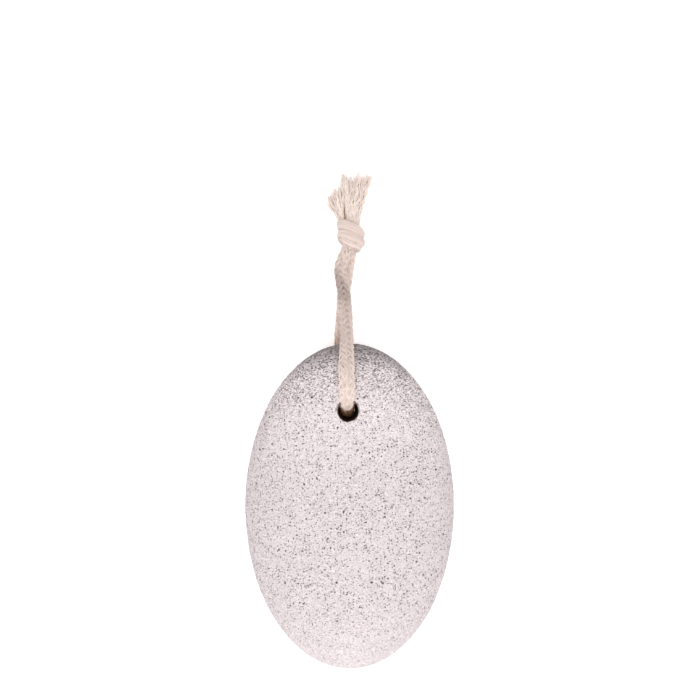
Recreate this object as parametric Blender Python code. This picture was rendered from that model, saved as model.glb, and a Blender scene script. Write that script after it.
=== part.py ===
"""An oval pumice stone on a knotted cotton cord, lying flat on a table.

Metres, +Z up. The origin is under the middle of the stone, on the surface that it rests on, and
+Y runs from the stone's middle past its drilled hole to the cord's frayed ends.
"""

from math import pi

import bmesh
import bpy
from mathutils import Matrix, Vector

MM = 0.001
GAP = 0.3 * MM  # kept between pieces that touch

# Stone
STONE_LENGTH = 100 * MM
STONE_WIDTH = 64.2 * MM
STONE_HEIGHT = 35 * MM
REST_CUT = 0.3 * MM  # how much of the crowned underside is ground off flat
SHOULDER = 2.5  # 2 is a plain ellipsoid; more keeps the faces flat further out
STONE_SEGMENTS = 64
STONE_RINGS = 32

# Hole, drilled from both faces, so that it is narrower in the middle
HOLE_RADIUS = 3.45 * MM
HOLE_WAIST = 2.4 * MM
HOLE_CENTRE = (-0.5 * MM, 29.5 * MM)
HOLE_SEGMENTS = 32

# Cord
CORD_DIAMETER = 4.1 * MM
CORD_STEP = 3 * MM  # between the tube's points; its bends are tight
ON_TABLE = CORD_DIAMETER / 2 + 0.05 * MM  # height of the centreline of a stretch that lies down

# The centreline in millimetres, from the knot over the stone's end to the upper mouth of the hole,
# down through the stone, and back along the table to the knot.
FRONT_STRAND = [
    (-1.0, 78.4, 6.5),
    (-2.2, 75.8, 6.6),
    (-2.85, 73.0, 7.2),
    (-2.45, 69.8, 8.7),
    (-1.9, 66.6, 10.9),
    (-1.6, 63.4, 13.4),
    (-1.25, 59.5, 16.6),
    (-1.0, 55.5, 20.0),
    (-0.85, 51.5, 23.5),
    (-0.85, 47.8, 26.8),
    (-0.9, 44.6, 29.5),
    (-0.95, 41.3, 32.0),
]
THROUGH_STONE = [
    (-0.85, 38.0, 32.9),
    (-0.8, 34.9, 32.3),
    (-0.8, 32.3, 30.6),
    (-0.8, 30.6, 28.0),
    (-0.75, 29.75, 24.9),
    (-0.65, 29.4, 20.5),
    (-0.6, 29.3, 15.5),
    (-0.65, 29.6, 10.6),
    (-0.75, 30.5, 7.2),
    (-0.85, 32.3, 4.5),
    (-0.9, 34.9, 2.75),
    (-1.1, 38.0, ON_TABLE / MM),
]
BACK_STRAND = [
    (-1.7, 42.5, ON_TABLE / MM),
    (-2.4, 46.5, ON_TABLE / MM),
    (-2.8, 50.5, ON_TABLE / MM),
    (-2.6, 54.5, ON_TABLE / MM),
    (-2.2, 58.5, ON_TABLE / MM),
    (-2.0, 62.5, ON_TABLE / MM),
    (-1.85, 66.5, ON_TABLE / MM),
    (-1.1, 70.5, ON_TABLE / MM),
    (-0.5, 74.5, ON_TABLE / MM),
    (0.0, 78.4, ON_TABLE / MM),
]

# Knot
KNOT_CENTRE = (0.2 * MM, 84.15 * MM, 4.4 * MM)
KNOT_HALF = (4.4 * MM, 4.35 * MM, 5.4 * MM)  # across, up, and along the cord
KNOT_SHOULDER = 3.2
KNOT_TURN = -10  # degrees about Z

# Frayed ends: where each starts, where it ends, its half widths and its half heights
TAIL_START_Y = 89.9 * MM
SHORT_TAIL = {
    "start": (-2.8 * MM, TAIL_START_Y, 2.9 * MM),
    "end": (-4.6 * MM, 98.3 * MM, 1.95 * MM),
    "half_width": (1.1 * MM, 2.35 * MM),
    "half_height": (1.9 * MM, 1.9 * MM),
    "slant": 0.45,
}
LONG_TAIL = {
    "start": (0.75 * MM, TAIL_START_Y, 3.1 * MM),
    "end": (2.3 * MM, 103.2 * MM, 2.25 * MM),
    "half_width": (2.1 * MM, 4.5 * MM),
    "half_height": (2.2 * MM, 2.2 * MM),
    "slant": -0.1,
}
TAIL_SEGMENTS = 20


def clear_scene():
    for old in list(bpy.data.objects):
        bpy.data.objects.remove(old, do_unlink=True)


def collection(name):
    made = bpy.data.collections.new(name)
    bpy.context.scene.collection.children.link(made)
    return made


def material(name, colour, roughness):
    made = bpy.data.materials.new(name)
    made.use_nodes = True
    shader = made.node_tree.nodes["Principled BSDF"]
    shader.inputs["Base Color"].default_value = (*colour, 1)
    shader.inputs["Roughness"].default_value = roughness
    shader.inputs["Metallic"].default_value = 0
    return made


def finished(bm, name, home, look=None):
    """Turn a bmesh into a named, smooth-shaded object in a collection."""
    mesh = bpy.data.meshes.new(name)
    bm.to_mesh(mesh)
    bm.free()
    mesh.shade_smooth()
    mesh.set_sharp_from_angle(angle=pi / 5)
    if look:
        mesh.materials.append(look)
    made = bpy.data.objects.new(name, mesh)
    home.objects.link(made)
    return made


def smooth_route(points, step):
    """Points about one step apart on a smooth curve (Catmull-Rom) through the given ones."""
    given = [Vector(p) * MM for p in points]
    given = [2 * given[0] - given[1], *given, 2 * given[-1] - given[-2]]
    fine = []
    for before, start, end, after in zip(given, given[1:], given[2:], given[3:]):
        for i in range(20):
            t = i / 20
            fine.append(
                0.5
                * (
                    2 * start
                    + (end - before) * t
                    + (2 * before - 5 * start + 4 * end - after) * t**2
                    + (3 * start - before - 3 * end + after) * t**3
                )
            )
    fine.append(given[-2])
    total = sum((b - a).length for a, b in zip(fine, fine[1:]))
    spacing = total / round(total / step)
    route = [fine[0]]
    walked = 0
    for a, b in zip(fine, fine[1:]):
        walked += (b - a).length
        if walked >= spacing * len(route) - 1e-9:
            route.append(b)
    route[-1] = fine[-1]
    return route


def tube(name, home, route, radius, sides_level, look=None):
    """A round tube with closed ends along a route."""
    curve = bpy.data.curves.new(name, "CURVE")
    curve.dimensions = "3D"
    curve.bevel_depth = radius
    curve.bevel_resolution = sides_level
    curve.use_fill_caps = True
    spline = curve.splines.new("POLY")
    spline.points.add(len(route) - 1)
    for point, place in zip(spline.points, route):
        point.co = (*place, 1)
    if look:
        curve.materials.append(look)
    made = bpy.data.objects.new(name, curve)
    home.objects.link(made)
    return made


def as_mesh(source, home):
    """The curve object as one closed mesh object, so that it can cut another."""
    bpy.context.view_layer.update()
    graph = bpy.context.evaluated_depsgraph_get()
    mesh = bpy.data.meshes.new_from_object(source.evaluated_get(graph))
    bm = bmesh.new()
    bm.from_mesh(mesh)
    bmesh.ops.remove_doubles(bm, verts=bm.verts, dist=0.001 * MM)
    bmesh.ops.recalc_face_normals(bm, faces=bm.faces)
    made = finished(bm, source.name + "_mesh", home)
    made.matrix_world = source.matrix_world
    bpy.data.objects.remove(source, do_unlink=True)
    return made


def hide_cutter(cutter):
    cutter.hide_render = True
    cutter.display_type = "WIRE"


def cut(part, cutter):
    boolean = part.modifiers.new("cut_" + cutter.name, "BOOLEAN")
    boolean.operation = "DIFFERENCE"
    boolean.solver = "EXACT"
    boolean.object = cutter


def shouldered_ball(segments, rings, shoulder):
    """A unit ball whose two faces along Z stay flat further out, the more its shoulder is over 2."""
    bm = bmesh.new()
    bmesh.ops.create_uvsphere(bm, u_segments=segments, v_segments=rings, radius=1)
    for vert in bm.verts:
        reach = vert.co.xy.length
        if reach > 1e-6:
            vert.co.xy *= reach ** (2 / shoulder - 1)
    return bm


def stone(home, cutters):
    """The oval block: crowned faces, full shoulders, a ground flat to rest on, and its cord hole."""
    half_height = (STONE_HEIGHT + REST_CUT) / 2
    bm = shouldered_ball(STONE_SEGMENTS, STONE_RINGS, SHOULDER)
    bmesh.ops.scale(bm, verts=bm.verts, vec=(STONE_WIDTH / 2, STONE_LENGTH / 2, half_height))
    bmesh.ops.translate(bm, verts=bm.verts, vec=(0, 0, half_height - REST_CUT))
    whole = bm.verts[:] + bm.edges[:] + bm.faces[:]
    bmesh.ops.bisect_plane(bm, geom=whole, plane_co=(0, 0, 0), plane_no=(0, 0, -1), clear_outer=True)
    bmesh.ops.holes_fill(bm, edges=[edge for edge in bm.edges if edge.is_boundary])
    block = finished(bm, "pumice_stone", home, material("pumice", (0.77, 0.72, 0.73), 0.95))

    bm = bmesh.new()
    bmesh.ops.create_cone(
        bm,
        cap_ends=True,
        segments=HOLE_SEGMENTS,
        radius1=HOLE_RADIUS,
        radius2=HOLE_RADIUS,
        depth=STONE_HEIGHT,
    )
    upright = [edge for edge in bm.edges if abs(edge.verts[0].co.z - edge.verts[1].co.z) > GAP]
    bmesh.ops.subdivide_edges(bm, edges=upright, cuts=1)
    waist = [vert for vert in bm.verts if abs(vert.co.z) < GAP]
    narrowing = HOLE_WAIST / HOLE_RADIUS
    bmesh.ops.scale(bm, verts=waist, vec=(narrowing, narrowing, 1))
    bmesh.ops.translate(bm, verts=bm.verts, vec=(*HOLE_CENTRE, STONE_HEIGHT / 2))
    drill = finished(bm, "hole_cutter", cutters)
    eased = tube(
        "mouth_cutter",
        cutters,
        smooth_route(THROUGH_STONE, CORD_STEP / 2),
        CORD_DIAMETER / 2 + GAP,
        4,
    )
    for cutter in (drill, as_mesh(eased, cutters)):
        hide_cutter(cutter)
        cut(block, cutter)


def knot(home):
    """The knot's outer shape, with blunt ends where the strands and the frayed ends meet it."""
    bm = shouldered_ball(24, 14, KNOT_SHOULDER)
    bmesh.ops.scale(bm, verts=bm.verts, vec=KNOT_HALF)
    bmesh.ops.rotate(bm, verts=bm.verts, matrix=Matrix.Rotation(-pi / 2, 3, "X"))
    bmesh.ops.rotate(bm, verts=bm.verts, matrix=Matrix.Rotation(KNOT_TURN * pi / 180, 3, "Z"))
    bmesh.ops.translate(bm, verts=bm.verts, vec=KNOT_CENTRE)
    finished(bm, "cord_knot", home, material("cotton_knot", (0.80, 0.66, 0.58), 0.9))


def tail(name, home, size, look):
    """One frayed end, reaching the tips of its yarns: the hull of a small oval and a wide, slanted one."""
    bm = bmesh.new()
    ends = zip((size["start"], size["end"]), size["half_width"], size["half_height"], (0, size["slant"]))
    for centre, half_width, half_height, slant in ends:
        oval = Matrix(
            (
                (half_width, 0, 0, centre[0]),
                (slant * half_width, 0, 0, centre[1]),
                (0, half_height, 0, centre[2]),
                (0, 0, 0, 1),
            )
        )
        bmesh.ops.create_circle(bm, segments=TAIL_SEGMENTS, radius=1, matrix=oval)
    bmesh.ops.convex_hull(bm, input=bm.verts)
    bmesh.ops.recalc_face_normals(bm, faces=bm.faces)
    finished(bm, name, home, look)


def main():
    clear_scene()
    home = collection("pumice_on_cord")
    cutters = collection("cutters")
    stone(home, cutters)
    route = smooth_route(FRONT_STRAND + THROUGH_STONE + BACK_STRAND, CORD_STEP)
    tube("cord_loop", home, route, CORD_DIAMETER / 2, 3, material("cotton_cord", (0.80, 0.66, 0.57), 0.9))
    knot(home)
    tail("tail_short", home, SHORT_TAIL, material("cotton_short_tail", (0.84, 0.71, 0.62), 0.9))
    tail("tail_long", home, LONG_TAIL, material("cotton_long_tail", (0.85, 0.72, 0.64), 0.9))


main()
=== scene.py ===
import math
import random

import bmesh
import bpy
import numpy as np
from mathutils import Matrix, Vector, kdtree, noise


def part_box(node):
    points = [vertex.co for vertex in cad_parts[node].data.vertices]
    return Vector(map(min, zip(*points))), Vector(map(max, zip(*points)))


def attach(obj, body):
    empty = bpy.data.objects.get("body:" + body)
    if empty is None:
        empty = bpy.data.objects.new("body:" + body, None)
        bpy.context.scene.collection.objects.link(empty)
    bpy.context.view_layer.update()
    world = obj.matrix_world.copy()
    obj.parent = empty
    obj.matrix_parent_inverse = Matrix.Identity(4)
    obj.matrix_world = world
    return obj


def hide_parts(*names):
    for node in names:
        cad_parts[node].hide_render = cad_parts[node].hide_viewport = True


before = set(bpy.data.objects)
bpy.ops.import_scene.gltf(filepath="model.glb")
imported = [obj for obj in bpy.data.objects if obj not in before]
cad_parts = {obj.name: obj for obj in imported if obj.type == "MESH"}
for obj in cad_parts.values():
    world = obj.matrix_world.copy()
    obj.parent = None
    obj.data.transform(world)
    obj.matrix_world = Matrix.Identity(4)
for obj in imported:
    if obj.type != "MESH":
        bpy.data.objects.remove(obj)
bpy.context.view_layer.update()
mm = 0.001

cameraSettings = {
    "middle": (0.0001, 0.048),  # the point under the middle of the frame
    "height": 0.8,
    "frameWidth": 0.2154,  # real width that the frame shows at the stone's widest level
    "sensor": 36,
}


def makeCamera(s):
    stoneLow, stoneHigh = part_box("pumice_stone")
    widest = (stoneLow[2] + stoneHigh[2]) / 2
    data = bpy.data.cameras.new("overhead")
    data.sensor_width = s["sensor"]
    data.lens = s["sensor"] * (s["height"] - widest) / s["frameWidth"]
    data.clip_start = 0.01
    cam = bpy.data.objects.new("overhead", data)
    cam.location = (*s["middle"], s["height"])
    bpy.context.collection.objects.link(cam)
    bpy.context.scene.camera = cam


makeCamera(cameraSettings)
print("camera hung over the stone")


# evenly spaced points on a smooth curve through the given ones
def smoothRoute(points, step, perSpan=24):
    given = np.array(points, dtype=float)
    given = np.vstack((2 * given[0] - given[1], given, 2 * given[-1] - given[-2]))
    fine = []
    for before, start, end, after in zip(given, given[1:], given[2:], given[3:]):
        for i in range(perSpan):
            t = i / perSpan
            bow = (2 * before - 5 * start + 4 * end - after) * t**2
            swing = (3 * start - before - 3 * end + after) * t**3
            fine.append(0.5 * (2 * start + (end - before) * t + bow + swing))
    fine.append(given[-2])
    fine = np.array(fine)
    along = alongRoute(fine)
    marks = np.linspace(0, along[-1], int(round(along[-1] / step)) + 1)
    return np.stack([np.interp(marks, along, fine[:, k]) for k in range(3)], axis=1)


def alongRoute(route):
    return np.r_[0, np.cumsum(np.linalg.norm(np.diff(route, axis=0), axis=1))]


def unitRows(rows):
    return rows / np.linalg.norm(rows, axis=1, keepdims=True)


# a side and an up direction at each point, carried along the route without twisting
def sideAndUp(route, firstUp):
    ahead = unitRows(np.gradient(route, axis=0))
    up = np.array(firstUp, dtype=float)
    ups = []
    for direction in ahead:
        up = up - direction * up.dot(direction)
        up /= np.linalg.norm(up)
        ups.append(up)
    ups = np.array(ups)
    return np.cross(ahead, ups), ups


# round yarns along the paths, which all have as many points, as one mesh; the point attribute yarn
# holds each yarn's number, and proud says how far a point stands out of the lay, from -1 to 1
def yarnMesh(
    name, paths, radius, thickness=None, sides=1, firstNumber=0, centres=None, lifts=None, proud=0.0
):
    curve = bpy.data.curves.new(name, "CURVE")
    curve.dimensions = "3D"
    curve.bevel_depth = radius
    curve.bevel_resolution = sides
    curve.use_fill_caps = True
    for k, path in enumerate(paths):
        spline = curve.splines.new("POLY")
        spline.points.add(len(path) - 1)
        spline.points.foreach_set("co", np.c_[path, np.ones(len(path))].ravel())
        if thickness is not None:
            spline.points.foreach_set("radius", thickness[k])
    guide = bpy.data.objects.new(name, curve)
    bpy.context.collection.objects.link(guide)
    bpy.context.view_layer.update()
    graph = bpy.context.evaluated_depsgraph_get()
    mesh = bpy.data.meshes.new_from_object(guide.evaluated_get(graph))
    bpy.data.objects.remove(guide, do_unlink=True)
    # a curve's mesh lists the caps first, from the last yarn to the first, and then each yarn's rings
    last = len(paths[0]) - 1
    rings = [(k, end) for k in reversed(range(len(paths))) for end in (last, 0)]
    rings += [(k, i) for k in range(len(paths)) for i in range(last + 1)]
    yarn, place = np.repeat(rings, len(mesh.vertices) // len(rings), axis=0).T
    levels = np.full(len(yarn), proud)
    if centres is not None:
        spots = np.empty(len(yarn) * 3)
        mesh.vertices.foreach_get("co", spots)
        axes = np.array(paths)
        out = axes - centres
        out /= np.linalg.norm(out, axis=2, keepdims=True) + 1e-9
        offsets = ((spots.reshape(-1, 3) - axes[yarn, place]) * out[yarn, place]).sum(axis=1)
        levels = (offsets + np.array(lifts)[yarn, place]) / (radius + np.abs(lifts).max())
    markPoints(mesh, "yarn", yarn + firstNumber)
    # proud also sets how much painted crease shade the cotton shows there
    markPoints(mesh, "proud", levels)
    return mesh


def markPoints(mesh, name, values):
    mesh.attributes.new(name, "FLOAT", "POINT").data.foreach_set("value", values.astype(np.float32))


# joins meshes into one object and closes the yarns' ends
def weldedObject(name, meshes, look, gap=0.002 * mm):
    bm = bmesh.new()
    for mesh in meshes:
        bm.from_mesh(mesh)
    bmesh.ops.remove_doubles(bm, verts=bm.verts, dist=gap)
    bmesh.ops.recalc_face_normals(bm, faces=bm.faces)
    piece = asObject(bm, name)
    piece.data.shade_smooth()
    piece.data.materials.append(look)
    return piece


def asObject(bm, name):
    mesh = bpy.data.meshes.new(name)
    bm.to_mesh(mesh)
    bm.free()
    piece = bpy.data.objects.new(name, mesh)
    bpy.context.collection.objects.link(piece)
    return piece


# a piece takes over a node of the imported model
def takeOver(piece, node):
    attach(piece, "root")
    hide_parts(node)


def newMaterial(name):
    look = bpy.data.materials.new(name)
    look.use_nodes = True
    return look, look.node_tree, look.node_tree.nodes["Principled BSDF"]


def newGroup(name, inputs, outputs):
    tree = bpy.data.node_groups.new(name, "ShaderNodeTree")
    for label, kind, value in inputs:
        socket = tree.interface.new_socket(name=label, in_out="INPUT", socket_type="NodeSocket" + kind)
        if value is not None:
            socket.default_value = value
    for label, kind in outputs:
        tree.interface.new_socket(name=label, in_out="OUTPUT", socket_type="NodeSocket" + kind)
    return tree, tree.nodes.new("NodeGroupInput").outputs, tree.nodes.new("NodeGroupOutput").inputs


def plug(tree, node, place, value):
    if isinstance(value, bpy.types.NodeSocket):
        tree.links.new(value, node.inputs[place])
    else:
        node.inputs[place].default_value = value


# inputs are values or sockets, named as on the node with _ for a space, or i0, i1 by place
def addNode(tree, kind, settings=None, **inputs):
    node = tree.nodes.new("ShaderNode" + kind)
    for label, value in (settings or {}).items():
        setattr(node, label, value)
    for label, value in inputs.items():
        numbered = label[0] == "i" and label[1:].isdigit()
        plug(tree, node, int(label[1:]) if numbered else label.replace("_", " "), value)
    return node


def useGroup(tree, group, **inputs):
    return addNode(tree, "Group", {"node_tree": group}, **inputs).outputs


def calc(tree, operation, first, second=0.0):
    return addNode(tree, "Math", {"operation": operation}, i0=first, i1=second).outputs[0]


def product(tree, value, *factors):
    for factor in factors:
        value = calc(tree, "MULTIPLY", value, factor)
    return value


# how far a noise strays from one half, times a strength
def swing(tree, value, strength):
    return product(tree, calc(tree, "SUBTRACT", value, 0.5), strength)


# a smooth step of the value from low to high
def smoothStep(tree, value, low, high, atLow=0.0, atHigh=1.0):
    settings = {"interpolation_type": "SMOOTHSTEP", "clamp": True}
    ends = {"From_Min": low, "From_Max": high, "To_Min": atLow, "To_Max": atHigh}
    return addNode(tree, "MapRange", settings, Value=value, **ends).outputs[0]


def mixColour(tree, amount, first, second):
    node = addNode(tree, "Mix", {"data_type": "RGBA"}, i0=amount, i6=first, i7=second)
    return node.outputs[2]


def scaleVector(tree, vector, factor):
    return addNode(tree, "VectorMath", {"operation": "SCALE"}, i0=vector, Scale=factor).outputs[0]


def vectorCalc(tree, operation, first, second):
    return addNode(tree, "VectorMath", {"operation": operation}, i0=first, i1=second).outputs[0]


def attributeValue(tree, name):
    return addNode(tree, "Attribute", {"attribute_name": name}).outputs["Fac"]


def noiseValue(tree, vector, perMetre, detail):
    return addNode(tree, "TexNoise", Vector=vector, Scale=perMetre, Detail=detail).outputs[0]


# open pores: cells of which only a share holds a pore, each from 0.5 to 1.5 times the size and from
# 0.7 to 1 deep
def makePoreGroup():
    inputs = [("Vector", "Vector", None), ("Per Metre", "Float", 1000), ("Share", "Float", 0.5)]
    inputs += [("Size", "Float", 0.3), ("Softness", "Float", 0.15), ("Warp", "Float", 0.3)]
    tree, given, out = newGroup("openPores", inputs, [("Mask", "Float")])
    pull = addNode(tree, "TexNoise", Vector=given["Vector"], Scale=given["Per Metre"], Detail=2.0)
    centred = vectorCalc(tree, "SUBTRACT", pull.outputs["Color"], (0.5, 0.5, 0.5))
    shift = scaleVector(tree, centred, calc(tree, "DIVIDE", given["Warp"], given["Per Metre"]))
    place = vectorCalc(tree, "ADD", given["Vector"], shift)
    cells = addNode(tree, "TexVoronoi", {"feature": "F1"}, Vector=place, Scale=given["Per Metre"])
    chance = addNode(tree, "SeparateColor", Color=cells.outputs["Color"])
    isOpen = calc(tree, "LESS_THAN", chance.outputs[0], given["Share"])
    sized = product(tree, given["Size"], calc(tree, "ADD", chance.outputs[1], 0.5))
    edge = calc(tree, "ADD", sized, given["Softness"])
    inside = smoothStep(tree, cells.outputs["Distance"], sized, edge, 1.0, 0.0)
    depth = calc(tree, "ADD", product(tree, chance.outputs[2], 0.3), 0.7)
    tree.links.new(product(tree, inside, isOpen, depth), out["Mask"])
    return tree


# slow tone change over a piece, around 1
def makeMottleGroup():
    inputs = [("Vector", "Vector", None), ("Per Metre", "Float", 100), ("Strength", "Float", 0.05)]
    tree, given, out = newGroup("mottle", inputs, [("Tone", "Float")])
    change = swing(tree, noiseValue(tree, given["Vector"], given["Per Metre"], 3.0), given["Strength"])
    tree.links.new(calc(tree, "ADD", product(tree, change, 2.0), 1.0), out["Tone"])
    return tree


poreGroup = makePoreGroup()
mottleGroup = makeMottleGroup()

cottonSettings = {
    "colour": (0.83, 0.706, 0.648, 1),
    "creaseShade": (0.45, 0.34, 0.285, 1),
    "roughness": 0.85,
    "specular": 0.2,
    "sheen": (0.05, 0.5),  # its weight and roughness
    "mottlePerMetre": 140,
    "mottle": 0.07,
    "yarnSpread": 0.12,
    "creased": (0.45, -0.9),  # how low in the lay the painted crease shade begins, and is strongest
    "creasedMost": 0.9,
    "fibresPerMetre": 6500,
    "fibreLift": 0.8,  # how much a fibre changes its place's height in the lay
    "fibreBump": (0.5, 0.04 * mm),  # strength, height
    "flecksPerMetre": 1700,
    "flecks": 0.4,
    "slopeShaded": (34 * mm, 56 * mm),  # where along the cord its painted shade comes in
    "soilEdge": (1.67, 64 * mm, 69.5 * mm),  # the slope of its other edge, and where it goes
    "slopeShadeLeft": 0.25,  # how much of it is left past there
    "slopeShadedMost": (60 * mm, 66.5 * mm, 0.38, 1.05),  # where it deepens, and its strength before and after
    "slopeShadedCrease": 0.25,  # how much more of the lay's painted crease shade shows in it
    "slopeShadedAbove": (4 * mm, 6 * mm),
    "slopeShadeTone": (0.64, 0.61, 0.615, 1),
    "seam": (0.05, 2.93 * mm, 0.1 * mm, 0.32 * mm),  # painted shade between the tails: its slope, place and half widths
    "seamAlong": (88.7 * mm, 96 * mm, 90.5 * mm),  # where it begins, is gone, and is still full
    "seamShadeTone": (0.52, 0.38, 0.27, 1),
    # how near the hole, and between which heights, painted shade turns it brown
    "holeShaded": (33 * mm, 31.2 * mm, 28.6 * mm),
    "holeShadedSides": (-1.2 * mm, 220),  # the middle of what stays unshaded, and how soon its sides go brown
    "holeShadeTone": (0.42, 0.26, 0.15, 1),
    "underStone": (56 * mm, 47 * mm, 5 * mm),  # where along it, and below which height, painted shade darkens it
    "underShadeTone": (0.62, 0.5, 0.4, 1),
}

knottedSettings = {
    "colour": (0.75, 0.635, 0.585, 1),
    "creased": (0.45, -0.6),
    "flecks": 0.2,
    "yarnSpread": 0.14,
    "slopeShadeLeft": 0.0,
}
frayedSettings = {
    "colour": (0.87, 0.757, 0.695, 1),
    "creased": (0.35, -1.0),
    "flecks": 0.2,
    "yarnSpread": 0.12,
    "slopeShadeLeft": 0.0,
}


# painted shade on the cord's stretch down the stone's end, with a slanted far edge
def slopeShadeMask(tree, across, along, height, s):
    slope, *edge = s["soilEdge"]
    slanted = calc(tree, "ADD", along, product(tree, across, slope))
    return product(
        tree,
        smoothStep(tree, height, *s["slopeShadedAbove"]),
        smoothStep(tree, along, *s["slopeShaded"]),
        smoothStep(tree, slanted, *edge, 1.0, s["slopeShadeLeft"]),
        smoothStep(tree, along, *s["slopeShadedMost"]),
    )


# painted shade in the gap between the two frayed ends
def seamShadeMask(tree, across, along, s):
    slope, middle, *edge = s["seam"]
    beside = calc(tree, "SUBTRACT", calc(tree, "ADD", across, product(tree, along, slope)), middle)
    begins, *fade = s["seamAlong"]
    return product(
        tree,
        smoothStep(tree, calc(tree, "ABSOLUTE", beside), *edge, 1.0, 0.0),
        smoothStep(tree, along, *fade),
        calc(tree, "GREATER_THAN", along, begins),
    )


# painted shade where the cord goes down into the hole, its sides sooner than its middle
def holeShadeMask(tree, across, along, height, s):
    reach, *heights = s["holeShaded"]
    middle, sooner = s["holeShadedSides"]
    aside = calc(tree, "POWER", calc(tree, "SUBTRACT", across, middle), 2.0)
    sunkIn = calc(tree, "SUBTRACT", height, product(tree, aside, sooner))
    return product(tree, smoothStep(tree, sunkIn, *heights), calc(tree, "LESS_THAN", along, reach))


# painted shade on the stretch that lies under the stone
def underShadeMask(tree, along, height, s):
    *reach, top = s["underStone"]
    return product(tree, smoothStep(tree, along, *reach), calc(tree, "LESS_THAN", height, top))


def cottonMaterial(name, s):
    look, tree, shader = newMaterial(name)
    place = addNode(tree, "TexCoord").outputs["Object"]
    across, along, height = addNode(tree, "SeparateXYZ", Vector=place).outputs
    # the numbers are whole, but interpolation leaves them a hair off
    number = calc(tree, "ROUND", attributeValue(tree, "yarn"))
    luck = addNode(tree, "TexWhiteNoise", {"noise_dimensions": "1D"}, W=number).outputs["Value"]
    mottle = useGroup(tree, mottleGroup, Vector=place, Per_Metre=s["mottlePerMetre"], Strength=s["mottle"])
    fibre = noiseValue(tree, place, s["fibresPerMetre"], 2.0)
    fleck = noiseValue(tree, place, s["flecksPerMetre"], 1.0)
    slopeShaded = slopeShadeMask(tree, across, along, height, s)
    level = calc(tree, "ADD", attributeValue(tree, "proud"), swing(tree, fibre, s["fibreLift"]))
    level = calc(tree, "SUBTRACT", level, product(tree, slopeShaded, s["slopeShadedCrease"]))
    # painted shade: the lay's hollows, low in it, take the darker crease colour
    creased = smoothStep(tree, level, *s["creased"], 0.0, s["creasedMost"])
    colour = mixColour(tree, creased, s["colour"], s["creaseShade"])
    # painted shade where the front strand comes down the stone's end
    tint = mixColour(tree, slopeShaded, (1, 1, 1, 1), s["slopeShadeTone"])
    tint = mixColour(tree, seamShadeMask(tree, across, along, s), tint, s["seamShadeTone"])
    tint = mixColour(tree, holeShadeMask(tree, across, along, height, s), tint, s["holeShadeTone"])
    tint = mixColour(tree, underShadeMask(tree, along, height, s), tint, s["underShadeTone"])
    tone = calc(tree, "ADD", mottle["Tone"], swing(tree, luck, s["yarnSpread"]))
    tone = calc(tree, "ADD", tone, swing(tree, fleck, s["flecks"]))
    plug(tree, shader, "Base Color", scaleVector(tree, vectorCalc(tree, "MULTIPLY", colour, tint), tone))
    plug(tree, shader, "Roughness", s["roughness"])
    plug(tree, shader, "Sheen Weight", s["sheen"][0])
    plug(tree, shader, "Sheen Roughness", s["sheen"][1])
    plug(tree, shader, "Specular IOR Level", s["specular"])
    strength, rise = s["fibreBump"]
    bump = addNode(tree, "Bump", Height=fibre, Strength=strength, Distance=rise)
    plug(tree, shader, "Normal", bump.outputs[0])
    return look


cotton = cottonMaterial("cottonCord", cottonSettings)
knottedCotton = cottonMaterial("knottedCotton", {**cottonSettings, **knottedSettings})
frayedCotton = cottonMaterial("frayedCotton", {**cottonSettings, **frayedSettings})

# the cord's centreline in millimetres: down the stone's end, through it, and back along the table
frontStrand = [
    (-1.0, 78.4, 6.5),
    (-2.2, 75.8, 6.6),
    (-2.85, 73.0, 7.2),
    (-2.45, 69.8, 8.7),
    (-1.9, 66.6, 10.9),
    (-1.6, 63.4, 13.4),
    (-1.25, 59.5, 16.6),
    (-1.0, 55.5, 20.0),
    (-0.85, 51.5, 23.5),
    (-0.85, 47.8, 26.8),
    (-0.9, 44.6, 29.5),
    (-0.95, 41.3, 32.0),
]
throughStone = [
    (-0.85, 38.0, 32.9),
    (-0.8, 34.9, 32.3),
    (-0.8, 32.3, 30.6),
    (-0.8, 30.6, 28.0),
    (-0.75, 29.75, 24.9),
    (-0.65, 29.4, 20.5),
    (-0.6, 29.3, 15.5),
    (-0.65, 29.6, 10.6),
    (-0.75, 30.5, 7.2),
    (-0.85, 32.3, 4.5),
    (-0.9, 34.9, 2.75),
    (-1.1, 38.0, 2.1),
]
backStrand = [
    (-1.7, 42.5, 2.1),
    (-2.4, 46.5, 2.1),
    (-2.8, 50.5, 2.1),
    (-2.6, 54.5, 2.1),
    (-2.2, 58.5, 2.1),
    (-2.0, 62.5, 2.1),
    (-1.85, 66.5, 2.1),
    (-1.1, 70.5, 2.1),
    (-0.5, 74.5, 2.1),
    (0.0, 78.4, 2.1),
]

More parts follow.
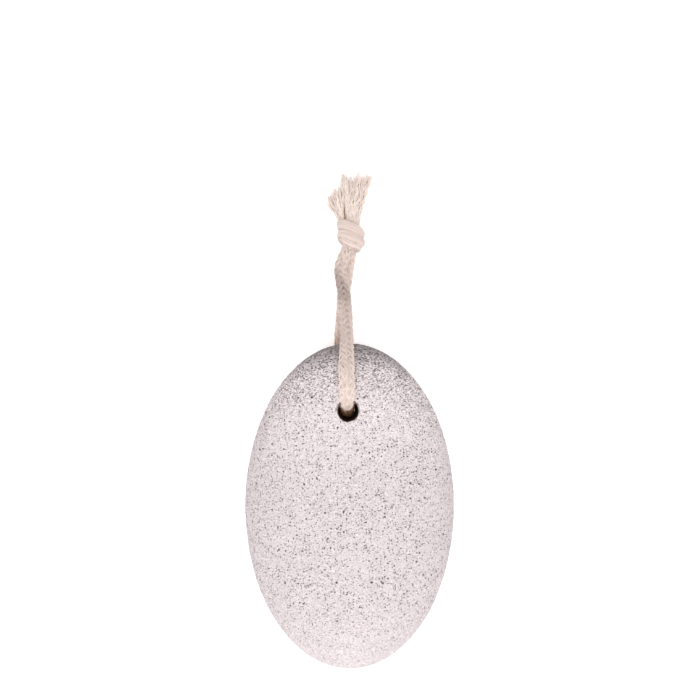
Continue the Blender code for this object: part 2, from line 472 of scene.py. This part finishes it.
cordSettings = {
    "diameter": 4.1 * mm,
    "carriers": 8,  # each way round
    "yarns": 3,  # side by side on each carrier
    "yarnGap": 0.36 * mm,  # between their middles
    "layAngle": 30,  # of the yarns to the cord, in degrees
    "spin": 22,  # radians per metre that the whole braid turns along the cord
    "middleRadius": 1.68 * mm,
    "lift": 0.17 * mm,  # of a yarn that passes over
    "liftHold": 1.6,  # how much longer than a plain wave it stays over or under
    "yarnRadius": 0.185 * mm,
    "sway": 0.15 * mm,  # how far a yarn strays from its even lay
    "swayOut": 0.7,  # share of it that is in and out
    "swaysPerMetre": 420,
    "swaySeed": 4,
    "step": 0.45 * mm,
    "coreRadius": 1.62 * mm,
    "pressedHeights": (24 * mm, 31.5 * mm),  # where the cord begins to flatten on the stone, and is flat
    "pressedWidth": 1.24,
    "pressedThickness": 0.93,
    "insideKnot": [(-0.2, 80.6, 5.6), (0.1, 80.8, 3.2)],  # where the yarns go on to, past each end
    "hairs": 260,
    "hairSeed": 21,
    "hairRadius": 0.022 * mm,
    "hairPoints": 6,
    "hairDrift": 0.6,  # how far round the cord a hair strays, in radians
    "hairRise": (0.15, 0.9),  # least and most, in millimetres
    "hairRoot": 0.1 * mm,  # how deep its ends are in the lay
    "hairLowest": 0.05 * mm,  # over the table
}


# two smooth wanderings along a yarn, different for each number
def stray(places, number):
    return np.array([noise.noise_vector((place, number * 3.7, 1.3))[:2] for place in places]) * 2


def braidPaths(route, s):
    noise.seed_set(s["swaySeed"])  # vector noise starts by the clock otherwise
    side, up = sideAndUp(route, (0, 0, 1))
    along = alongRoute(route)
    turnRate = math.tan(math.radians(s["layAngle"])) / s["middleRadius"]
    pressed = np.clip((route[:, 2] - s["pressedHeights"][0]) / np.ptp(s["pressedHeights"]), 0, 1)
    wide = (1 + (s["pressedWidth"] - 1) * pressed)[:, None]
    thick = (1 + (s["pressedThickness"] - 1) * pressed)[:, None]
    gapAngle = s["yarnGap"] / s["middleRadius"] / math.cos(math.radians(s["layAngle"]))
    paths = []
    lifts = []
    for way in (1, -1):
        for k in range(s["carriers"]):
            carrier = way * turnRate * along + k * 2 * math.pi / s["carriers"]
            wave = s["liftHold"] * np.cos(s["carriers"] / 2 * carrier) * way
            lift = s["lift"] * np.clip(wave, -1, 1)
            carrier = carrier + s["spin"] * along
            for yarn in range(s["yarns"]):
                sway = stray(along * s["swaysPerMetre"], len(paths)) * s["sway"]
                offset = (yarn - (s["yarns"] - 1) / 2) * gapAngle
                angle = carrier + offset + sway[:, 0] / s["middleRadius"]
                across = side * np.cos(angle)[:, None] * wide
                upwards = up * np.sin(angle)[:, None] * thick
                height = lift + sway[:, 1] * s["swayOut"]
                paths.append(route + (across + upwards) * (s["middleRadius"] + height)[:, None])
                lifts.append(height)
    return paths, lifts


# short loose fibres that stand out of the lay
def hairPaths(route, s):
    rng = random.Random(s["hairSeed"])
    side, up = sideAndUp(route, (0, 0, 1))
    radius = s["middleRadius"] + s["yarnRadius"]
    last = s["hairPoints"] - 1
    paths = []
    for k in range(s["hairs"]):
        place = rng.randrange(2, len(route) - s["hairPoints"] - 2)
        turn = rng.uniform(0, 2 * math.pi)
        drift = rng.gauss(0, s["hairDrift"])
        rise = rng.uniform(*s["hairRise"]) * mm
        path = []
        for i in range(s["hairPoints"]):
            angle = turn + drift * i / last
            reach = radius + rise * math.sin(math.pi * i / last * rng.uniform(0.6, 1.0)) - s["hairRoot"]
            row = place + i
            out = side[row] * math.cos(angle) + up[row] * math.sin(angle)
            path.append(route[row] + out * reach)
        path = np.array(path)
        path[:, 2] = np.maximum(path[:, 2], s["hairLowest"])
        paths.append(path)
    return paths


def makeCord(s):
    points = [p for part in (frontStrand, throughStone, backStrand) for p in part]
    route = smoothRoute(np.array(points) * mm, s["step"])
    inKnot = [s["insideKnot"][0], *points, s["insideKnot"][1]]
    full = smoothRoute(np.array(inKnot) * mm, s["step"])
    paths, lifts = braidPaths(full, s)
    yarns = yarnMesh("braid", paths, s["yarnRadius"], centres=[full] * len(paths), lifts=lifts)
    core = yarnMesh("core", [full[::4]], s["coreRadius"], sides=2, firstNumber=50)
    fuzz = yarnMesh("fuzz", hairPaths(full, s), s["hairRadius"], sides=0, firstNumber=60, proud=0.5)
    piece = weldedObject("cordLoop", [yarns, core, fuzz], cotton)
    takeOver(piece, "cord_loop")
    return piece, route


cordLoop, cordRoute = makeCord(cordSettings)
print("cord braided,", len(cordLoop.data.polygons), "faces")

knotSettings = {
    "middle": (0.3, 4.4),  # the knot's axis, across and up, in millimetres
    "wrapRadius": (3.05, 2.75),
    "step": 0.35 * mm,
    "yarns": 18,
    "yarnRadius": 0.28 * mm,
    "yarnLevel": -0.35,  # how far over the band's face a yarn counts as lying, in its own radii
    "twist": 0.5,  # turns of the yarns about the band over its whole length
    "fillers": (-0.38, 0, 0.38),  # where thick yarns fill the band, in its half widths
    "fillerRadius": 1.1 * mm,
    "core": [(-0.4, 80.4, 4.4), (0.3, 84, 4.4), (0.2, 88.4, 4.2)],
    "coreRadius": 1.9 * mm,
    "innerLevel": -0.3,  # of fillers and core, where -1 is deepest in the lay
    # turn about the knot's axis in degrees (90 is on top), place along it, share of the wrap's
    # radius, half width, half thickness
    "wrap": [
        (220, 82.6, 0.75, 0.9, 0.9),
        (180, 82.8, 0.8, 1.2, 1.2),
        (135, 82.5, 0.85, 1.4, 1.35),
        (90, 81.2, 0.85, 1.45, 1.4),
        (45, 80.3, 0.8, 1.45, 1.4),
        (0, 80.0, 0.68, 1.35, 1.3),
        (-50, 80.6, 0.7, 1.2, 1.2),
        (-100, 81.4, 0.85, 1.2, 1.1),
        (-140, 82.6, 1.0, 1.5, 1.25),
        (-180, 83.7, 1.0, 1.7, 1.4),
        (-225, 84.5, 1.0, 1.7, 1.45),
        (-270, 83.6, 1.0, 1.65, 1.5),
        (-315, 82.3, 1.0, 1.75, 1.55),
        (-360, 81.5, 1.0, 1.8, 1.5),
        (-405, 82.2, 1.0, 1.7, 1.4),
        (-450, 84.2, 1.0, 1.7, 1.4),
        (-495, 85.9, 1.0, 1.7, 1.4),
        (-540, 87.1, 1.0, 1.75, 1.45),
        (-585, 87.3, 1.0, 1.7, 1.5),
        (-630, 86.5, 1.0, 1.65, 1.5),
        (-675, 85.1, 1.0, 1.7, 1.55),
        (-720, 84.1, 1.0, 1.7, 1.5),
        (-765, 84.4, 1.0, 1.5, 1.3),
        (-800, 85.6, 1.0, 1.1, 1.0),
    ],
}


def makeKnot(s):
    rows = np.array(s["wrap"], dtype=float)
    turn = np.radians(rows[:, 0])
    points = np.c_[
        s["middle"][0] + s["wrapRadius"][0] * rows[:, 2] * np.cos(turn),
        rows[:, 1],
        s["middle"][1] + s["wrapRadius"][1] * rows[:, 2] * np.sin(turn),
    ]
    route = smoothRoute(points * mm, s["step"])
    place = np.linspace(0, len(rows) - 1, len(route))
    width = np.interp(place, range(len(rows)), rows[:, 3]) * mm
    depth = np.interp(place, range(len(rows)), rows[:, 4]) * mm
    ahead = unitRows(np.gradient(route, axis=0))
    out = route - np.array([s["middle"][0], 0, s["middle"][1]]) * mm
    out[:, 1] = 0
    out = unitRows(out - ahead * (out * ahead).sum(axis=1, keepdims=True))
    across = np.cross(ahead, out)
    turns = 2 * math.pi * s["twist"] * np.linspace(0, 1, len(route))
    paths = []
    for k in range(s["yarns"]):
        angle = 2 * math.pi * k / s["yarns"] + turns
        sideways = across * ((width - s["yarnRadius"]) * np.cos(angle))[:, None]
        paths.append(route + sideways + out * ((depth - s["yarnRadius"]) * np.sin(angle))[:, None])
    middles = [route] * s["yarns"]
    sunk = np.full((s["yarns"], len(route)), s["yarnLevel"] * s["yarnRadius"])
    yarns = yarnMesh("knotYarns", paths, s["yarnRadius"], centres=middles, lifts=sunk)
    inner = {"sides": 3, "proud": s["innerLevel"]}
    fillers = [route[::2] + across[::2] * (width * share)[::2, None] for share in s["fillers"]]
    filler = yarnMesh("knotFill", fillers, s["fillerRadius"], firstNumber=30, **inner)
    middle = smoothRoute(np.array(s["core"]) * mm, 1 * mm)
    core = yarnMesh("knotCore", [middle], s["coreRadius"], firstNumber=40, **inner)
    piece = weldedObject("cordKnot", [yarns, filler, core], knottedCotton)
    takeOver(piece, "cord_knot")
    return piece


cordKnot = makeKnot(knotSettings)
print("knot tied,", len(cordKnot.data.polygons), "faces")

# the frayed ends: where each strand's tip lies, in millimetres, and the bundle's middle at the knot
tailSettings = {
    "yarns": 4,  # in each strand
    "yarnRadius": 0.15 * mm,
    "strandRadius": 0.23 * mm,
    "twist": (1.6, 3.2),  # turns of a strand's yarns, least and most
    # height and least and most length of the waves left by the braid
    "crimp": (0.24 * mm, 2.6 * mm, 4.2 * mm),
    "crimpAlong": ([0, 0.15, 0.5, 1], [0, 1, 0.9, 0.35]),  # places along a strand, share of the height
    "crimpUp": 0.6,  # the waves' height upwards, as a share of that sideways
    "taper": ([0, 0.7, 1], [1, 1, 0.45]),  # places along a yarn, share of its radius
    "cut": 0.04,  # how unevenly a strand's yarns are cut
    "bend": 0.5,  # how far a strand bows sideways, in millimetres
    # share of the bend, and of the way to the tip across, along and down, at a strand's two bends
    "bends": ((0.5, (0.26, 0.30, 0.30)), (0.4, (0.60, 0.64, 0.70))),
    # how far the tips stray, and how much short of their places they end, in millimetres
    "topScatter": 0.15,
    "scatter": 0.4,
    "topShorter": 0.2,
    "shorter": (0.3, 3.2),
    "heightScatter": 0.2,
    "rootScatter": (0.2, 0.1),  # across and up, in the bundle's half sizes
    "layers": (0.1, 0.3, 0.5, 0.64, 0.78),  # how high the strands' tips lie, of the bundle's height
    "loose": 4,  # single yarns for each tip, over the strands
    "looseShorter": 1.2,
    "looseHeights": (0.7, 0.95),
    "samples": 30,
}
shortTailSettings = {
    **tailSettings,
    "name": "tailShort",
    "node": "tail_short",
    "seed": 11,
    "root": (-1.75, 87.2, 4.2),
    "rootHalf": (1.0, 1.5),
    "tips": [
        (-7.2, 96.5),
        (-6.0, 97.6),
        (-5.1, 98.7),
        (-4.3, 98.4),
        (-3.4, 99.4),
        (-2.5, 99.2),
        (-1.7, 99.4),
    ],
    "bend": 0.15,
    "crimp": (0.13 * mm, 2.6 * mm, 4.2 * mm),
    "tipHeight": 3.9,
}
longTailSettings = {
    **tailSettings,
    "name": "tailLong",
    "node": "tail_long",
    "seed": 5,
    "root": (0.7, 87.0, 4.4),
    "rootHalf": (1.7, 1.7),
    "tips": [
        (-2.2, 104.4),
        (-1.3, 103.8),
        (-0.6, 103.0),
        (0.4, 102.8),
        (1.4, 102.6),
        (2.7, 104.2),
        (3.7, 102.8),
        (4.8, 103.3),
        (5.9, 103.4),
        (6.9, 102.9),
    ],
    "tipHeight": 4.4,
}


# the yarns of one strand, laid round its route, parting towards its tip
def strandPaths(route, s, rng):
    side, up = sideAndUp(route, (0, 0, 1))
    fine = np.linspace(0, 1, len(route))
    turns = rng.uniform(*s["twist"]) * 2 * math.pi
    paths = []
    for k in range(s["yarns"]):
        spread = s["strandRadius"] * (1 + rng.random() * fine**3) * (k > 0)
        angle = 2 * math.pi * k / (s["yarns"] - 1) + turns * fine
        path = route + side * (spread * np.cos(angle))[:, None] + up * (spread * np.sin(angle))[:, None]
        cut = 1 - abs(rng.gauss(0, s["cut"]))
        paths.append(np.stack([np.interp(fine * cut, fine, path[:, j]) for j in range(3)], axis=1))
    return paths


# from a place in the bundle at the knot, out to a tip, all in millimetres
def tailRoute(root, tip, s, rng):
    bend = rng.gauss(0, s["bend"])
    root, tip = np.array(root), np.array(tip)
    points = [root]
    for sideways, shares in s["bends"]:
        points.append(root + (tip - root) * shares + (bend * sideways, 0, 0))
    points.append(tip)
    route = smoothRoute(np.array(points) * mm, 0.2 * mm)
    marks = np.linspace(0, len(route) - 1, s["samples"])
    route = np.stack([np.interp(marks, range(len(route)), route[:, j]) for j in range(3)], axis=1)
    height, *lengths = s["crimp"]
    wave = alongRoute(route) * 2 * math.pi / rng.uniform(*lengths) + rng.uniform(0, 2 * math.pi)
    size = height * np.interp(np.linspace(0, 1, len(route)), *s["crimpAlong"])
    side, up = sideAndUp(route, (0, 0, 1))
    swung = side * (size * np.sin(wave))[:, None] + up * (size * np.cos(wave))[:, None] * s["crimpUp"]
    return route + swung


def makeTail(s):
    rng = random.Random(s["seed"])
    paths = []
    across = np.linspace(-1, 1, len(s["tips"]))
    for level in s["layers"]:
        top = level == s["layers"][-1]
        for place, (tipX, tipY) in zip(across, s["tips"]):
            reach = math.sqrt(1 - (0.9 * place) ** 2)
            rootX = s["root"][0] + s["rootHalf"][0] * (place * 0.85 + rng.gauss(0, s["rootScatter"][0]))
            upwards = level * 2 - 1 + rng.gauss(0, s["rootScatter"][1])
            rootZ = s["root"][2] + s["rootHalf"][1] * reach * upwards
            endX = tipX + rng.gauss(0, s["topScatter" if top else "scatter"])
            endY = tipY - (abs(rng.gauss(0, s["topShorter"])) if top else rng.uniform(*s["shorter"]))
            endZ = s["tipHeight"] * level + rng.gauss(0, s["heightScatter"])
            root = (rootX, s["root"][1], rootZ)
            route = tailRoute(root, (endX, endY, endZ), s, rng)
            paths += strandPaths(route, s, rng)
    for k in range(s["loose"] * len(s["tips"])):
        place = rng.uniform(-1, 1)
        tipX, tipY = [np.interp(place + rng.gauss(0, 0.25), across, row) for row in np.transpose(s["tips"])]
        arch = math.sqrt(1 - (0.9 * place) ** 2)
        rootX = s["root"][0] + s["rootHalf"][0] * place * 0.9
        root = (rootX, s["root"][1], s["root"][2] + s["rootHalf"][1] * arch)
        tipY -= abs(rng.gauss(0, s["looseShorter"]))
        tip = (tipX, tipY, s["tipHeight"] * rng.uniform(*s["looseHeights"]))
        paths.append(tailRoute(root, tip, s, rng))
    for path in paths:
        path[:, 2] = np.maximum(path[:, 2], s["yarnRadius"] * 1.05)
    taper = np.interp(np.linspace(0, 1, s["samples"]), *s["taper"])
    middles = [path - (0, 0, s["strandRadius"] * 2) for path in paths]
    raised = np.full((len(paths), s["samples"]), 0.5 * s["yarnRadius"])
    thickness = [taper] * len(paths)
    yarns = yarnMesh(s["name"] + "Yarns", paths, s["yarnRadius"], thickness, centres=middles, lifts=raised)
    piece = weldedObject(s["name"], [yarns], frayedCotton)
    takeOver(piece, s["node"])
    return piece


tailShort = makeTail(shortTailSettings)
tailLong = makeTail(longTailSettings)
print("ends frayed,", len(tailLong.data.polygons), "faces in the long one")
print("loop of", round(alongRoute(cordRoute)[-1] * 1000, 1), "mm")

stoneSettings = {
    "shoulder": 2.5,  # how full the outline is between its middle and its rim
    "restCut": 0.3 * mm,
    "turned": (0.5, 0.7),  # how far the first mesh is turned, so that its rows don't follow the axes
    "longestEdge": 0.64 * mm,
    "longestEdgeBelow": 0.95 * mm,
    "holeRadius": 3.45 * mm,
    "holeWaist": 2.0 * mm,
    "holeMiddle": (-0.5 * mm, 29.5 * mm),
    "boreSides": 44,
    "boreRings": 60,
    "boreSwells": [(600, 0.16 * mm), (1700, 0.12 * mm)],  # waves per metre, height
    "cordRoom": 0.05 * mm,
    "seed": 3,
    "jitter": 0.07 * mm,  # of the mesh's points along the surface
    "grain": 0.05 * mm,
    "swells": [(55, 0.10 * mm), (240, 0.05 * mm)],
    "ridges": (1050, 0.16 * mm),
    "flatTop": 0.05 * mm,  # points lower than this are on the ground flat
    "flatDepth": 0.3 * mm,  # of the deepest vesicle in it
    "fullDepth": 0.35 * mm,  # where a vesicle's poreDepth is 1
    # open vesicles: how many on the whole stone, least and most radius and depth in millimetres, and
    # how much longer than wide the longest is
    "vesicles": [
        (9500, (0.05, 0.12), (0.05, 0.30), 1.0),
        (650, (0.26, 0.36), (0.15, 0.45), 1.2),
        (50, (0.30, 0.38), (0.35, 0.60), 1.3),
        (12, (0.30, 0.38), (0.45, 0.70), 2.0),
    ],
}


def swellHeight(place, swells):
    return sum(noise.noise(place * perMetre) * height for perMetre, height in swells)


# the roughened bore, drilled from both faces, so that it is narrower in the middle
def boreCutter(s, height):
    bm = bmesh.new()
    size = {"radius1": s["holeRadius"], "radius2": s["holeRadius"], "depth": height}
    bmesh.ops.create_cone(bm, cap_ends=True, segments=s["boreSides"], **size)
    upright = [e for e in bm.edges if abs(e.verts[0].co.z - e.verts[1].co.z) > 1 * mm]
    bmesh.ops.subdivide_edges(bm, edges=upright, cuts=s["boreRings"], use_grid_fill=True)
    waist = s["holeWaist"] / s["holeRadius"]
    for vert in bm.verts:
        out = Vector((vert.co.x, vert.co.y, 0)).normalized()
        vert.co.xy *= waist + (1 - waist) * abs(vert.co.z) / (height / 2)
        vert.co += out * swellHeight(vert.co, s["boreSwells"])
    bmesh.ops.translate(bm, verts=bm.verts, vec=(*s["holeMiddle"], height / 2))
    return asObject(bm, "boreCutter")


# the eased mouths where the cord turns out of the bore
def cordCutter(s):
    route = smoothRoute(np.array(throughStone) * mm, 1.2 * mm)
    mesh = yarnMesh("cordCutter", [route], cordSettings["diameter"] / 2 + s["cordRoom"], sides=5)
    bm = bmesh.new()
    bm.from_mesh(mesh)
    bmesh.ops.remove_doubles(bm, verts=bm.verts, dist=0.001 * mm)
    bmesh.ops.recalc_face_normals(bm, faces=bm.faces)
    return asObject(bm, "cordCutter")


# the stone's smooth outer form, meshed evenly
def stoneBlank(s):
    low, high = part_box("pumice_stone")
    half = [(high[k] - low[k]) / 2 for k in range(3)]
    thick = half[2] + s["restCut"] / 2
    bm = bmesh.new()
    bmesh.ops.create_icosphere(bm, subdivisions=6, radius=1)
    turned = Matrix.Rotation(s["turned"][0], 3, "Z") @ Matrix.Rotation(s["turned"][1], 3, "X")
    bmesh.ops.rotate(bm, verts=bm.verts, matrix=turned)
    for vert in bm.verts:
        fuller = max(vert.co.xy.length, 1e-6) ** (2 / s["shoulder"] - 1)
        vert.co.x *= half[0] * fuller
        vert.co.y *= half[1] * fuller
        vert.co.z = max(vert.co.z * thick + high[2] - thick, 0)
    for k in range(3):
        bm.normal_update()
        long = []
        for edge in bm.edges:
            below = edge.verts[0].normal.z < -0.8
            if edge.calc_length() > s["longestEdgeBelow" if below else "longestEdge"]:
                long.append(edge)
        bmesh.ops.subdivide_edges(bm, edges=long, cuts=1)
        bmesh.ops.triangulate(bm, faces=[f for f in bm.faces if len(f.verts) > 3])
    for k in range(5):
        axes = {"use_axis_x": True, "use_axis_y": True, "use_axis_z": True}
        bmesh.ops.smooth_vert(bm, verts=bm.verts, factor=0.5, **axes)
    return asObject(bm, "stoneBlank")


def cutWith(piece, cutter):
    boolean = piece.modifiers.new("cut", "BOOLEAN")
    boolean.operation = "DIFFERENCE"
    boolean.solver = "EXACT"
    boolean.object = cutter


# how deep each point of the mesh lies in an open vesicle
def vesicleDepths(bm, s, rng):
    tree = kdtree.KDTree(len(bm.verts))
    for vert in bm.verts:
        tree.insert(vert.co, vert.index)
    tree.balance()
    bm.verts.ensure_lookup_table()
    depths = [0.0] * len(bm.verts)
    for count, radii, (shallowest, deepest), stretch in s["vesicles"]:
        for k in range(count):
            middle = bm.verts[rng.randrange(len(bm.verts))]
            radius = rng.uniform(*radii) * mm
            deep = (shallowest + (deepest - shallowest) * rng.random() ** 1.5) * mm
            longest = rng.uniform(1, stretch)
            lie = middle.normal.orthogonal()
            lie.rotate(Matrix.Rotation(rng.uniform(0, math.pi), 3, middle.normal))
            for place, index, distance in tree.find_range(middle.co, radius * longest):
                step = place - middle.co
                endways = step.dot(lie) / longest
                spot = math.hypot(endways, math.sqrt(max(0, distance**2 - step.dot(lie) ** 2))) / radius
                if spot < 1:
                    depths[index] = max(depths[index], deep * (1 - spot**2) ** 0.6)
    return depths


def roughen(bm, s):
    rng = random.Random(s["seed"])
    bm.normal_update()
    for vert in bm.verts:
        if vert.co.z > s["flatTop"]:
            lie = vert.normal.orthogonal()
            lie.rotate(Matrix.Rotation(rng.uniform(0, 2 * math.pi), 3, vert.normal))
            vert.co += lie * s["jitter"] * rng.random()
    depths = vesicleDepths(bm, s, rng)
    poreDepth = bm.verts.layers.float.new("poreDepth")
    ridgesPerMetre, ridgeHeight = s["ridges"]
    for vert, depth in zip(bm.verts, depths):
        vert[poreDepth] = depth / s["fullDepth"]
        if vert.co.z < s["flatTop"]:
            vert.co.z += min(depth, s["flatDepth"])
            continue
        height = swellHeight(vert.co, s["swells"])
        height -= abs(noise.noise(vert.co * ridgesPerMetre)) * ridgeHeight
        height += rng.gauss(0, 1) * s["grain"] - depth
        vert.co += vert.normal * height


def makeStone(s, look):
    blank = stoneBlank(s)
    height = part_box("pumice_stone")[1][2]
    cutters = [boreCutter(s, height), cordCutter(s)]
    for cutter in cutters:
        cutWith(blank, cutter)
    bpy.context.view_layer.update()
    graph = bpy.context.evaluated_depsgraph_get()
    bm = bmesh.new()
    bm.from_mesh(bpy.data.meshes.new_from_object(blank.evaluated_get(graph)))
    for spare in (blank, *cutters):
        bpy.data.objects.remove(spare, do_unlink=True)
    bmesh.ops.remove_doubles(bm, verts=bm.verts, dist=0.04 * mm)
    bmesh.ops.dissolve_degenerate(bm, edges=bm.edges, dist=0.02 * mm)
    bmesh.ops.triangulate(bm, faces=[f for f in bm.faces if len(f.verts) > 3])
    bm.verts.index_update()
    roughen(bm, s)
    bmesh.ops.recalc_face_normals(bm, faces=bm.faces)
    piece = asObject(bm, "pumiceStone")
    piece.data.shade_smooth()
    piece.data.materials.append(look)
    takeOver(piece, "pumice_stone")
    return piece


pumiceSettings = {
    "colour": (0.73, 0.65, 0.665, 1),
    "poreShade": (0.045, 0.035, 0.03, 1),
    "boreShade": (0.10, 0.055, 0.03, 1),
    "roughness": 0.92,
    "specular": 0.15,
    "mottle": {"Per_Metre": 90.0, "Strength": 0.05},
    "grainPerMetre": 3600,
    "grainShading": 0.75,  # partly the stone's own grain tone and partly painted light and shade: how much lighter the crests of the grain are than its hollows
    "relief": 0.35 * mm,
    "poreRelief": 0.5,  # how deep the small pores are in it
    "vesicleShade": (0.6, 1.3, 0.0, 0.9),  # poreDepth where a vesicle's painted shade begins and is full, and how dark there
    # small pores: cells per metre, share of them that are open, size and softness in cells
    "specks": {"Per_Metre": 2050.0, "Share": 0.48, "Size": 0.25, "Softness": 0.08, "Warp": 0.08},
    "pores": {"Per_Metre": 1050.0, "Share": 0.32, "Size": 0.185, "Softness": 0.05, "Warp": 0.1},
    "pits": {"Per_Metre": 500.0, "Share": 0.35, "Size": 0.125, "Softness": 0.03, "Warp": 0.1},
    "frontLitEnd": (-48 * mm, -24 * mm, 0.45),  # painted light: where the end facing the light shows less of the painted pore shade, and how much is left there
    "rakingEnd": (25 * mm, 48 * mm),  # where along the stone the painted shadows of its relief, in the light raking its end, begin and are strongest
    "rakingSpecks": {"Per_Metre": 2150.0, "Share": 0.95, "Size": 0.31, "Softness": 0.08, "Warp": 0.12},
    "rakingGrain": 1.0,  # how much stronger the grain's painted light and shade is there
    # painted shade: where the end by the hole, facing away from the light, darkens, and how dark it is
    "paintedShadingEnd": (41 * mm, 51 * mm),
    "endShade": 0.36,
    "endCurve": 14,  # how much further along the sides count, per metre and square of their distance
    "litEnds": [(3 * mm, 38 * mm, 1.16), (-25 * mm, -47 * mm, 1.03)],  # painted light, paler towards each end: from, to, how much
    "boreDark": (32.7 * mm, 31.4 * mm),  # heights between which painted shade darkens the bore's wall
    "boreEdge": (0.35 * mm, 0.1 * mm),  # how far outside the hole's radius the dark ends, and is full
}


def pumiceMaterial(s, stone):
    look, tree, shader = newMaterial("pumice")
    place = addNode(tree, "TexCoord").outputs["Object"]
    specks, pores, pits = (
        useGroup(tree, poreGroup, Vector=place, **s[kind])["Mask"] for kind in ("specks", "pores", "pits")
    )
    across, along, height = addNode(tree, "SeparateXYZ", Vector=place).outputs
    bend = product(tree, calc(tree, "POWER", across, 2.0), s["endCurve"])
    curved = calc(tree, "ADD", along, bend)
    # painted shadows of the small relief, strongest at the end by the hole where the light rakes it
    raking = smoothStep(tree, curved, *s["rakingEnd"])
    stretched = addNode(tree, "Mapping", Vector=place, Scale=(0.5, 1.0, 1.0)).outputs[0]
    rakingSpecks = useGroup(tree, poreGroup, Vector=stretched, **s["rakingSpecks"])["Mask"]
    # the open pores, which take painted shade in the colour and sink in the bump
    holes = calc(tree, "MAXIMUM", specks, calc(tree, "MAXIMUM", pores, pits))
    holes = calc(tree, "MAXIMUM", holes, product(tree, rakingSpecks, raking))
    # painted light: less painted pore shade at the end facing the light
    start, end, faint = s["frontLitEnd"]
    holes = product(tree, holes, smoothStep(tree, along, start, end, faint, 1.0))
    grain = noiseValue(tree, stretched, s["grainPerMetre"], 0.0)
    mottle = useGroup(tree, mottleGroup, Vector=place, **s["mottle"])["Tone"]
    stronger = calc(tree, "ADD", product(tree, raking, s["rakingGrain"]), 1.0)
    # the grain's tone, lighter on crests and darker in hollows: partly the stone's own, partly painted
    # light and shade
    grainShade = product(tree, swing(tree, grain, s["grainShading"]), stronger)
    # painted shade at the end by the hole, and painted light on the paler ends
    paintedShading = smoothStep(tree, curved, *s["paintedShadingEnd"], 1.0, s["endShade"])
    for start, end, paler in s["litEnds"]:
        paintedShading = product(tree, paintedShading, smoothStep(tree, along, start, end, 1.0, paler))
    tone = product(tree, calc(tree, "ADD", mottle, grainShade), paintedShading)
    body = scaleVector(tree, s["colour"][:3], tone)
    # painted shade in the vesicles and open pores, the deeper the darker
    vesicles = smoothStep(tree, attributeValue(tree, "poreDepth"), *s["vesicleShade"])
    colour = mixColour(tree, calc(tree, "MAXIMUM", vesicles, holes), body, s["poreShade"])
    # painted shade: the bore's wall is dark from a little way inside its mouth
    fromBore = (-stone["holeMiddle"][0], -stone["holeMiddle"][1], 0)
    local = addNode(tree, "Mapping", Vector=place, Location=fromBore, Scale=(1, 1, 0)).outputs[0]
    radial = addNode(tree, "VectorMath", {"operation": "LENGTH"}, i0=local).outputs["Value"]
    inBore = smoothStep(tree, radial, *(stone["holeRadius"] + past for past in s["boreEdge"]))
    deepIn = smoothStep(tree, height, *s["boreDark"])
    colour = mixColour(tree, product(tree, inBore, deepIn), colour, s["boreShade"])
    plug(tree, shader, "Base Color", colour)
    plug(tree, shader, "Roughness", s["roughness"])
    plug(tree, shader, "Specular IOR Level", s["specular"])
    relief = calc(tree, "SUBTRACT", grain, product(tree, holes, s["poreRelief"]))
    bump = addNode(tree, "Bump", Height=relief, Strength=1.0, Distance=s["relief"])
    plug(tree, shader, "Normal", bump.outputs[0])
    return look


pumiceStone = makeStone(stoneSettings, pumiceMaterial(pumiceSettings, stoneSettings))
print("stone ground,", len(pumiceStone.data.polygons), "faces")

lightSettings = {
    "floorColour": (0.95, 0.95, 0.95, 1),
    "floorGlow": 0.33,  # keeps the floor pale in the stone's shadow
    "floorDrop": 0.2 * mm,  # below what rests on it
    "room": (0.70, 0.12),  # strength of the room's light, and how much it grows towards +Y
    "horizon": (0.22, 0.08, 0.28),  # heights between which it grows paler, and how much
    "overhead": {"place": (0, 0, 1.1), "size": 0.9, "watts": 4.3},
    "front": {"place": (0, -0.75, 0.75), "size": 0.4, "watts": 4.2},
}


def softBox(name, s):
    data = bpy.data.lights.new(name, "AREA")
    data.shape = "SQUARE"
    data.size = s["size"]
    data.energy = s["watts"]
    lamp = bpy.data.objects.new(name, data)
    lamp.location = s["place"]
    lamp.rotation_euler = (-Vector(s["place"])).to_track_quat("-Z", "Y").to_euler()
    bpy.context.collection.objects.link(lamp)


def makeSurroundings(s):
    bm = bmesh.new()
    bmesh.ops.create_grid(bm, x_segments=2, y_segments=2, size=3)
    floor = asObject(bm, "floor")
    look, tree, shader = newMaterial("paleFloor")
    plug(tree, shader, "Base Color", s["floorColour"])
    plug(tree, shader, "Roughness", 0.9)
    plug(tree, shader, "Emission Color", (1, 1, 1, 1))
    plug(tree, shader, "Emission Strength", s["floorGlow"])
    floor.data.materials.append(look)
    floor.location.z = -s["floorDrop"]
    world = bpy.data.worlds.new("softRoom")
    bpy.context.scene.world = world
    world.use_nodes = True
    tree = world.node_tree
    background = tree.nodes["Background"]
    plug(tree, background, "Color", (1, 1, 1, 1))
    towards = addNode(tree, "SeparateXYZ", Vector=addNode(tree, "TexCoord").outputs["Generated"]).outputs
    strength, growth = s["room"]
    high, low, paler = s["horizon"]
    brightness = smoothStep(tree, towards[2], low, high, strength + paler, strength)
    brightness = calc(tree, "ADD", brightness, product(tree, towards[1], growth))
    plug(tree, background, "Strength", brightness)
    for name in ("overhead", "front"):
        softBox(name, s[name])
    bpy.context.scene.view_settings.view_transform = "Standard"


makeSurroundings(lightSettings)
print("floor and light set")
